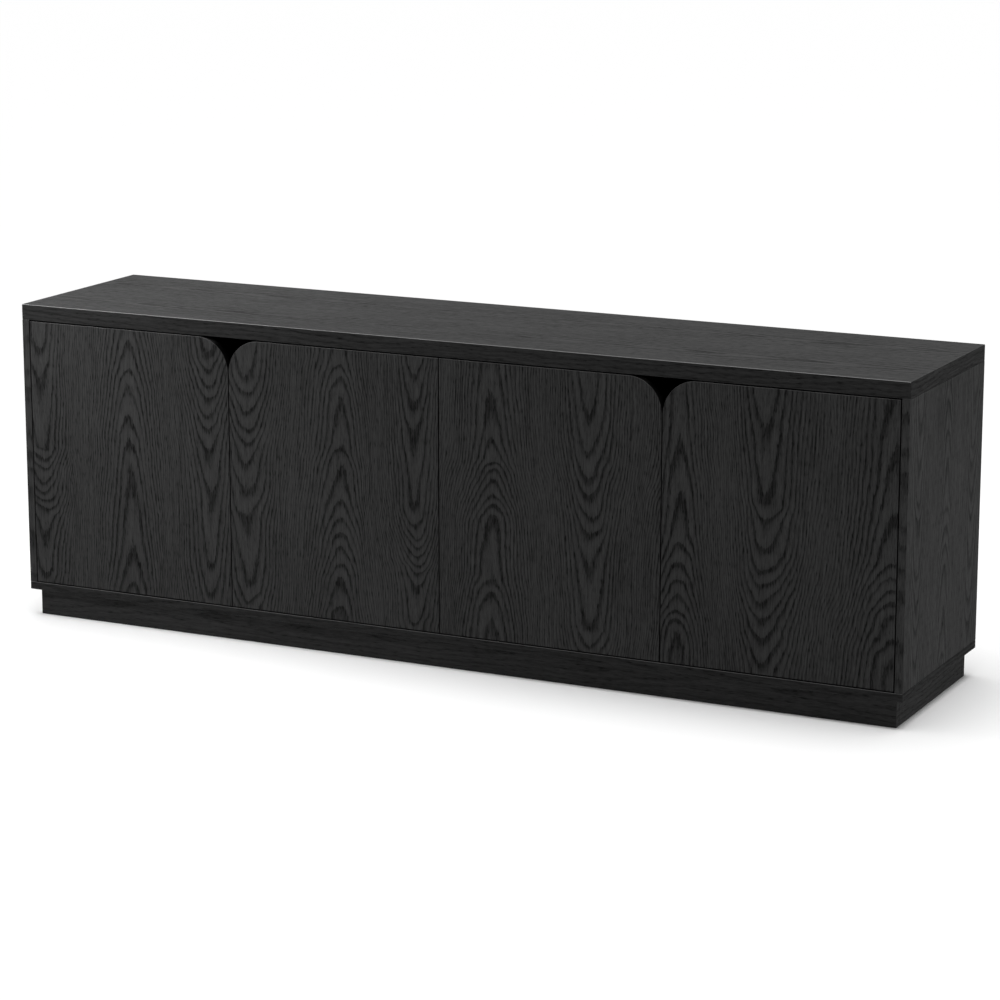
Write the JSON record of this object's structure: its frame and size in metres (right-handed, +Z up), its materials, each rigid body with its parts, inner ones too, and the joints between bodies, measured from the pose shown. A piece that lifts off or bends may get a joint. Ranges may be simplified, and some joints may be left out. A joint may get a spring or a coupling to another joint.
{
  "type": "sideboard",
  "caption": "Low wide black-veneered sideboard on a recessed plinth, with flush inset hinged doors, rounded finger pulls where they meet, and shelves inside.",
  "frame": {"origin": "on the floor at the centre of the footprint", "axes": "+X along the width, to the right seen from the front; +Y towards the back, so the doors face -Y; +Z up"},
  "size_m": [1.8, 0.4, 0.617],
  "materials": {
    "stained_veneer": "black-stained open-grain oak or ash veneer under satin lacquer",
    "inner_board": "black melamine-faced board, fine wood grain, matt",
    "hardboard": "thin black-painted hardboard, matt",
    "beech": "plain planed beech",
    "nickel_plated_steel": "satin nickel plate",
    "zinc_plated_steel": "bright zinc plate",
    "zinc_alloy": "die-cast zinc, dull",
    "black_plastic": "moulded, fine matt texture"
  },
  "bodies": {
    "carcass": {"top_panel": "stained_veneer", "bottom_panel": "stained_veneer", "left_side_panel": "stained_veneer", "right_side_panel": "stained_veneer", "centre_partition": "inner_board", "left_shelf": "inner_board", "right_shelf": "inner_board", "plinth_front": "stained_veneer", "plinth_back": "stained_veneer", "plinth_left": "stained_veneer", "plinth_right": "stained_veneer", "plinth_centre_rail": "inner_board", "plinth_corner_blocks": "beech", "plinth_brackets": "zinc_plated_steel", "bracket_screws": "zinc_plated_steel", "left_back_board": "hardboard", "right_back_board": "hardboard", "back_strip": "black_plastic", "back_strip_screws": "zinc_plated_steel", "shelf_pegs": "nickel_plated_steel", "cam_locks": "zinc_alloy", "cam_bolts": "zinc_plated_steel", "dowels": "beech", "door_stops": "black_plastic", "plate_screws": "nickel_plated_steel", "arm_screws": "nickel_plated_steel", "left_outer_hinge_arms": "nickel_plated_steel", "left_outer_mounting_plates": "nickel_plated_steel", "left_inner_hinge_arms": "nickel_plated_steel", "left_inner_mounting_plates": "nickel_plated_steel", "right_inner_hinge_arms": "nickel_plated_steel", "right_inner_mounting_plates": "nickel_plated_steel", "right_outer_hinge_arms": "nickel_plated_steel", "right_outer_mounting_plates": "nickel_plated_steel"},
    "left_outer_leaf": {"left_outer_door": "stained_veneer", "left_outer_hinge_cups": "nickel_plated_steel", "left_outer_hinge_pins": "nickel_plated_steel", "left_outer_cup_screws": "nickel_plated_steel"},
    "left_inner_leaf": {"left_inner_door": "stained_veneer", "left_inner_hinge_cups": "nickel_plated_steel", "left_inner_hinge_pins": "nickel_plated_steel", "left_inner_cup_screws": "nickel_plated_steel"},
    "right_inner_leaf": {"right_inner_door": "stained_veneer", "right_inner_hinge_cups": "nickel_plated_steel", "right_inner_hinge_pins": "nickel_plated_steel", "right_inner_cup_screws": "nickel_plated_steel"},
    "right_outer_leaf": {"right_outer_door": "stained_veneer", "right_outer_hinge_cups": "nickel_plated_steel", "right_outer_hinge_pins": "nickel_plated_steel", "right_outer_cup_screws": "nickel_plated_steel"}
  },
  "joints": [
    {"name": "left_outer_hinge", "type": "hinge", "parent": "carcass", "child": "left_outer_leaf", "pos_m": [-0.858, -0.1935, 0.327], "axis": [0, 0, -1], "range_deg": [0, 92]},
    {"name": "left_inner_hinge", "type": "hinge", "parent": "carcass", "child": "left_inner_leaf", "pos_m": [-0.026, -0.1935, 0.327], "axis": [0, 0, 1], "range_deg": [0, 92]},
    {"name": "right_inner_hinge", "type": "hinge", "parent": "carcass", "child": "right_inner_leaf", "pos_m": [0.026, -0.1935, 0.327], "axis": [0, 0, -1], "range_deg": [0, 92]},
    {"name": "right_outer_hinge", "type": "hinge", "parent": "carcass", "child": "right_outer_leaf", "pos_m": [0.858, -0.1935, 0.327], "axis": [0, 0, 1], "range_deg": [0, 92]}
  ]
}
